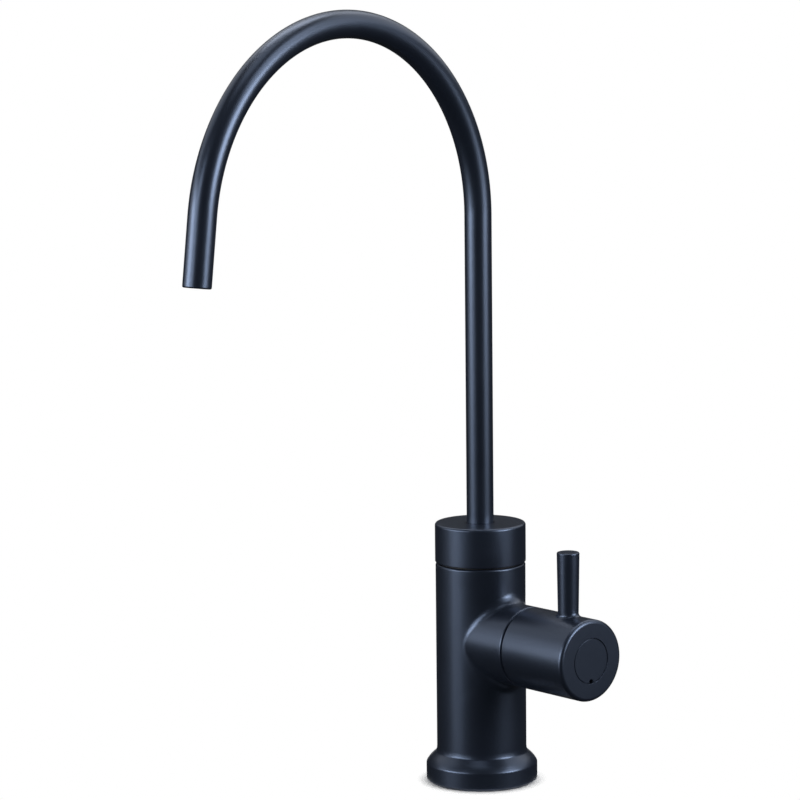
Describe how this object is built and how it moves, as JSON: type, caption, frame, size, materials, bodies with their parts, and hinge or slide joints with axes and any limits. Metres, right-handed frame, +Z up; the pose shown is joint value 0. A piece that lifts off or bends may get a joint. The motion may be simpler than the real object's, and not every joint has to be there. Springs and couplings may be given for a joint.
{
  "type": "drinking water filter tap",
  "caption": "Slim satin black drinking water tap: a round column on a flared foot, a swivel arch spout and a side lever that turns a ceramic disc valve.",
  "frame": {"origin": "centre of the foot's underside, on the deck, at the mouth of the shank socket", "axes": "+Z up along the column; +X along the lever's axis, out of the handle's face; the spout points towards -Y, turned a little towards +X at rest"},
  "size_m": [0.0794, 0.1688, 0.2865],
  "materials": {
    "satin_black": "satin black coating",
    "cap_black": "satin black",
    "brass": "turned",
    "stainless": "bright",
    "rubber": "matte",
    "slip_plastic": "matte",
    "dark_slip_plastic": "matte",
    "grey_plastic": "matte",
    "ceramic": "lapped"
  },
  "bodies": {
    "body": {"tap_body": "satin_black", "base_gasket": "rubber", "retaining_ring": "stainless", "swivel_washer": "dark_slip_plastic", "valve_housing": "brass", "housing_o_ring": "rubber", "seat_seal": "rubber", "fixed_disc": "ceramic", "thrust_washer": "slip_plastic", "handle_guide_ring": "slip_plastic"},
    "spout": {"spout_tube": "satin_black", "outlet_insert": "grey_plastic", "spout_collar": "satin_black", "swivel_spigot": "brass", "spout_o_rings": "rubber"},
    "lever": {"handle": "satin_black", "handle_cap": "cap_black", "handle_screw": "stainless", "screw_washer": "stainless", "valve_stem": "brass", "stem_o_rings": "rubber", "stem_clip": "stainless", "moving_disc": "ceramic"}
  },
  "joints": [
    {"name": "spout_swivel", "type": "hinge", "parent": "body", "child": "spout", "pos_m": [0, 0, 0.082], "axis": [0, 0, 1], "continuous": true},
    {"name": "lever_turn", "type": "hinge", "parent": "body", "child": "lever", "pos_m": [0.0268, 0, 0.054], "axis": [1, 0, 0], "range_deg": [0, 90]}
  ]
}
